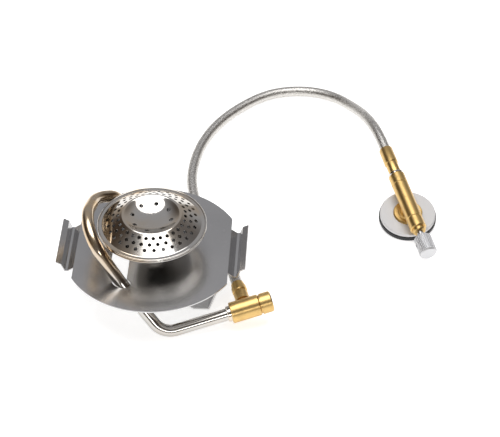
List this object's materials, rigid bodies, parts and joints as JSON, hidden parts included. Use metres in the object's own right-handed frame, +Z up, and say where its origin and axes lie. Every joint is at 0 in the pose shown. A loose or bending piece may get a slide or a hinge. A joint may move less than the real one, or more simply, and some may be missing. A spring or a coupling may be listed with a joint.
{
  "type": "camping stove",
  "caption": "Remote-canister camping stove: perforated burner on a hooked reflector plate, bent generator tube, swivel block, braided hose and canister connector with hand valve",
  "frame": {"origin": "on the ground under the burner's axis, on the base bracket's bottom face", "axes": "+X towards the bracket's wall and the swivel block, +Y to the back where the hose leaves, +Z up"},
  "size_m": [0.2208, 0.2393, 0.0611],
  "materials": {
    "polished": "polished stainless steel",
    "satin_steel": "satin stainless sheet with fine scratches",
    "heated_steel": "polished steel with a straw heat tint",
    "brass": "satin turned brass",
    "aluminium": "bright knurled aluminium",
    "white_plastic": "smooth off-white",
    "rubber": "black rubber",
    "fibre": "red fibre",
    "braid": "woven stainless wire braid"
  },
  "bodies": {
    "stove": {"burner_cap": "polished", "burner_bowl": "polished", "inlet_ring": "polished", "tube_collar": "polished", "reflector_plate": "satin_steel", "base_bracket": "satin_steel", "flame_gauze": "satin_steel", "plate_washer": "satin_steel", "plate_nut": "satin_steel", "collar_nut": "satin_steel", "mixing_tube": "satin_steel", "bracket_screw_1": "satin_steel", "bracket_screw_2": "satin_steel", "generator_tube": "heated_steel", "jet_holder": "brass", "jet_nozzle": "brass", "rear_tube_nut": "brass", "swivel_body": "brass", "banjo_bolt": "brass", "near_ferrule": "brass", "far_ferrule": "brass", "valve_body": "brass", "gland_nut": "brass", "canister_collar": "brass", "connector_socket": "brass", "depressor_pin": "brass", "canister_disc": "white_plastic", "canister_seal": "rubber", "swivel_seal_1": "rubber", "swivel_seal_2": "rubber", "jet_seal": "fibre", "hose": "braid"},
    "spindle_carriage": {"spindle_seal": "rubber"},
    "valve_knob": {"valve_spindle": "satin_steel", "knob": "aluminium", "knob_screw": "satin_steel"}
  },
  "joints": [
    {"name": "spindle_travel", "type": "slide", "parent": "stove", "child": "spindle_carriage", "axis": [0.3133, -0.9352, -0.1649], "range_m": [0, 0.002]},
    {"name": "knob_turn", "type": "hinge", "parent": "spindle_carriage", "child": "valve_knob", "pos_m": [0.1489, 0.06081, 0.01613], "axis": [0.3133, -0.9352, -0.1649], "range_deg": [0, 901]}
  ],
  "couplings": [
    {"joint": "knob_turn", "follows": "spindle_travel", "rad_per_m": 7854}
  ]
}
